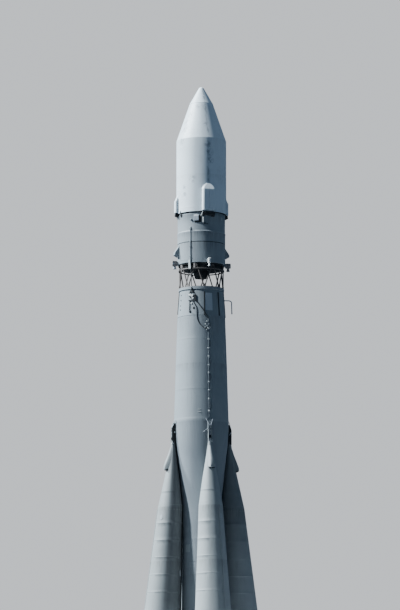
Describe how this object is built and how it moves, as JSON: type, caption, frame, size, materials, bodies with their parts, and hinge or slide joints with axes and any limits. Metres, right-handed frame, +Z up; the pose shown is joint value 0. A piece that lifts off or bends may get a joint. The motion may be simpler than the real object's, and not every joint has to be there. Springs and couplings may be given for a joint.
{
  "type": "three stage launch rocket with strap-on boosters",
  "caption": "Tall upright launch rocket: waisted grey core with tapered strap-on boosters, open truss under the third stage and a white two-part payload fairing that opens.",
  "frame": {"origin": "on the rocket's axis, in the plane of the nozzle rims it stands on", "axes": "+Z up along the rocket, -Y towards the front booster, +X towards the right booster"},
  "size_m": [10.3, 10.3, 38.3593],
  "materials": {
    "grey_paint": "weathered satin grey paint",
    "white_paint": "weathered satin white paint",
    "heat_stained_steel": "dull heat-stained steel",
    "dark_steel": "dark matt coating"
  },
  "bodies": {
    "airframe": {"core_engine": "heat_stained_steel", "core_tail_section": "grey_paint", "core_lower_struts": "heat_stained_steel", "core_fuel_tank": "grey_paint", "core_oxidizer_tank": "grey_paint", "core_equipment_bay": "grey_paint", "core_cable_raceway": "grey_paint", "interstage_truss": "heat_stained_steel", "third_stage_engine": "dark_steel", "third_stage_body": "grey_paint", "booster_front_engine": "heat_stained_steel", "booster_front_tail_section": "grey_paint", "booster_front_fuel_tank": "grey_paint", "booster_front_oxidizer_tank": "grey_paint", "booster_front_nose": "grey_paint", "booster_right_engine": "heat_stained_steel", "booster_right_tail_section": "grey_paint", "booster_right_fuel_tank": "grey_paint", "booster_right_oxidizer_tank": "grey_paint", "booster_right_nose": "grey_paint", "booster_back_engine": "heat_stained_steel", "booster_back_tail_section": "grey_paint", "booster_back_fuel_tank": "grey_paint", "booster_back_oxidizer_tank": "grey_paint", "booster_back_nose": "grey_paint", "booster_left_engine": "heat_stained_steel", "booster_left_tail_section": "grey_paint", "booster_left_fuel_tank": "grey_paint", "booster_left_oxidizer_tank": "grey_paint", "booster_left_nose": "grey_paint"},
    "core_steering_engine_front": {"core_steering_engine_front": "heat_stained_steel"},
    "core_steering_engine_right": {"core_steering_engine_right": "heat_stained_steel"},
    "core_steering_engine_back": {"core_steering_engine_back": "heat_stained_steel"},
    "core_steering_engine_left": {"core_steering_engine_left": "heat_stained_steel"},
    "third_stage_steering_nozzle_front": {"third_stage_steering_nozzle_front": "heat_stained_steel"},
    "third_stage_steering_nozzle_right": {"third_stage_steering_nozzle_right": "heat_stained_steel"},
    "third_stage_steering_nozzle_back": {"third_stage_steering_nozzle_back": "heat_stained_steel"},
    "third_stage_steering_nozzle_left": {"third_stage_steering_nozzle_left": "heat_stained_steel"},
    "booster_front_steering_engine_a": {"booster_front_steering_engine_a": "heat_stained_steel"},
    "booster_front_steering_engine_b": {"booster_front_steering_engine_b": "heat_stained_steel"},
    "booster_front_air_rudder": {"booster_front_air_rudder": "grey_paint"},
    "booster_right_steering_engine_a": {"booster_right_steering_engine_a": "heat_stained_steel"},
    "booster_right_steering_engine_b": {"booster_right_steering_engine_b": "heat_stained_steel"},
    "booster_right_air_rudder": {"booster_right_air_rudder": "grey_paint"},
    "booster_back_steering_engine_a": {"booster_back_steering_engine_a": "heat_stained_steel"},
    "booster_back_steering_engine_b": {"booster_back_steering_engine_b": "heat_stained_steel"},
    "booster_back_air_rudder": {"booster_back_air_rudder": "grey_paint"},
    "booster_left_steering_engine_a": {"booster_left_steering_engine_a": "heat_stained_steel"},
    "booster_left_steering_engine_b": {"booster_left_steering_engine_b": "heat_stained_steel"},
    "booster_left_air_rudder": {"booster_left_air_rudder": "grey_paint"},
    "fairing_left": {"fairing_half_left": "white_paint", "nose_cap_left": "white_paint", "fairing_hinge_housing_left": "white_paint", "fairing_lock_front_left": "white_paint", "fairing_lock_back_left": "white_paint"},
    "fairing_right": {"fairing_half_right": "white_paint", "nose_cap_right": "white_paint", "fairing_hinge_housing_right": "white_paint", "fairing_lock_front_right": "white_paint", "fairing_lock_back_right": "white_paint"}
  },
  "joints": [
    {"name": "core_steering_engine_front_swing", "type": "hinge", "parent": "airframe", "child": "core_steering_engine_front", "pos_m": [0, -0.88, 0.8], "axis": [0, -1, 0], "range_deg": [-45, 45]},
    {"name": "core_steering_engine_right_swing", "type": "hinge", "parent": "airframe", "child": "core_steering_engine_right", "pos_m": [0.88, 0, 0.8], "axis": [1, 0, 0], "range_deg": [-45, 45]},
    {"name": "core_steering_engine_back_swing", "type": "hinge", "parent": "airframe", "child": "core_steering_engine_back", "pos_m": [0, 0.88, 0.8], "axis": [0, 1, 0], "range_deg": [-45, 45]},
    {"name": "core_steering_engine_left_swing", "type": "hinge", "parent": "airframe", "child": "core_steering_engine_left", "pos_m": [-0.88, 0, 0.8], "axis": [-1, 0, 0], "range_deg": [-45, 45]},
    {"name": "third_stage_steering_nozzle_front_swing", "type": "hinge", "parent": "airframe", "child": "third_stage_steering_nozzle_front", "pos_m": [0, -1.425, 28.72], "axis": [0, -1, 0], "range_deg": [-45, 45]},
    {"name": "third_stage_steering_nozzle_right_swing", "type": "hinge", "parent": "airframe", "child": "third_stage_steering_nozzle_right", "pos_m": [1.425, 0, 28.72], "axis": [1, 0, 0], "range_deg": [-45, 45]},
    {"name": "third_stage_steering_nozzle_back_swing", "type": "hinge", "parent": "airframe", "child": "third_stage_steering_nozzle_back", "pos_m": [0, 1.425, 28.72], "axis": [0, 1, 0], "range_deg": [-45, 45]},
    {"name": "third_stage_steering_nozzle_left_swing", "type": "hinge", "parent": "airframe", "child": "third_stage_steering_nozzle_left", "pos_m": [-1.425, 0, 28.72], "axis": [-1, 0, 0], "range_deg": [-45, 45]},
    {"name": "booster_front_steering_engine_a_swing", "type": "hinge", "parent": "airframe", "child": "booster_front_steering_engine_a", "pos_m": [0.98668, -3.01612, 0.8], "axis": [0.9397, -0.342, 0], "range_deg": [-45, 45]},
    {"name": "booster_front_steering_engine_b_swing", "type": "hinge", "parent": "airframe", "child": "booster_front_steering_engine_b", "pos_m": [-0.98668, -3.01612, 0.8], "axis": [-0.9397, -0.342, 0], "range_deg": [-45, 45]},
    {"name": "booster_front_air_rudder_turn", "type": "hinge", "parent": "airframe", "child": "booster_front_air_rudder", "pos_m": [0, -4.012, 1.9], "axis": [0, -1, 0], "range_deg": [-20, 20]},
    {"name": "booster_right_steering_engine_a_swing", "type": "hinge", "parent": "airframe", "child": "booster_right_steering_engine_a", "pos_m": [3.01612, 0.98668, 0.8], "axis": [0.342, 0.9397, 0], "range_deg": [-45, 45]},
    {"name": "booster_right_steering_engine_b_swing", "type": "hinge", "parent": "airframe", "child": "booster_right_steering_engine_b", "pos_m": [3.01612, -0.98668, 0.8], "axis": [0.342, -0.9397, 0], "range_deg": [-45, 45]},
    {"name": "booster_right_air_rudder_turn", "type": "hinge", "parent": "airframe", "child": "booster_right_air_rudder", "pos_m": [4.012, 0, 1.9], "axis": [1, 0, 0], "range_deg": [-20, 20]},
    {"name": "booster_back_steering_engine_a_swing", "type": "hinge", "parent": "airframe", "child": "booster_back_steering_engine_a", "pos_m": [-0.98668, 3.01612, 0.8], "axis": [-0.9397, 0.342, 0], "range_deg": [-45, 45]},
    {"name": "booster_back_steering_engine_b_swing", "type": "hinge", "parent": "airframe", "child": "booster_back_steering_engine_b", "pos_m": [0.98668, 3.01612, 0.8], "axis": [0.9397, 0.342, 0], "range_deg": [-45, 45]},
    {"name": "booster_back_air_rudder_turn", "type": "hinge", "parent": "airframe", "child": "booster_back_air_rudder", "pos_m": [0, 4.012, 1.9], "axis": [0, 1, 0], "range_deg": [-20, 20]},
    {"name": "booster_left_steering_engine_a_swing", "type": "hinge", "parent": "airframe", "child": "booster_left_steering_engine_a", "pos_m": [-3.01612, -0.98668, 0.8], "axis": [-0.342, -0.9397, 0], "range_deg": [-45, 45]},
    {"name": "booster_left_steering_engine_b_swing", "type": "hinge", "parent": "airframe", "child": "booster_left_steering_engine_b", "pos_m": [-3.01612, 0.98668, 0.8], "axis": [-0.342, 0.9397, 0], "range_deg": [-45, 45]},
    {"name": "booster_left_air_rudder_turn", "type": "hinge", "parent": "airframe", "child": "booster_left_air_rudder", "pos_m": [-4.012, 0, 1.9], "axis": [-1, 0, 0], "range_deg": [-20, 20]},
    {"name": "fairing_left_open", "type": "hinge", "parent": "airframe", "child": "fairing_left", "pos_m": [-1.47, 0, 31.29], "axis": [0, -1, 0], "range_deg": [0, 60]},
    {"name": "fairing_right_open", "type": "hinge", "parent": "airframe", "child": "fairing_right", "pos_m": [1.47, 0, 31.29], "axis": [0, 1, 0], "range_deg": [0, 60]}
  ]
}
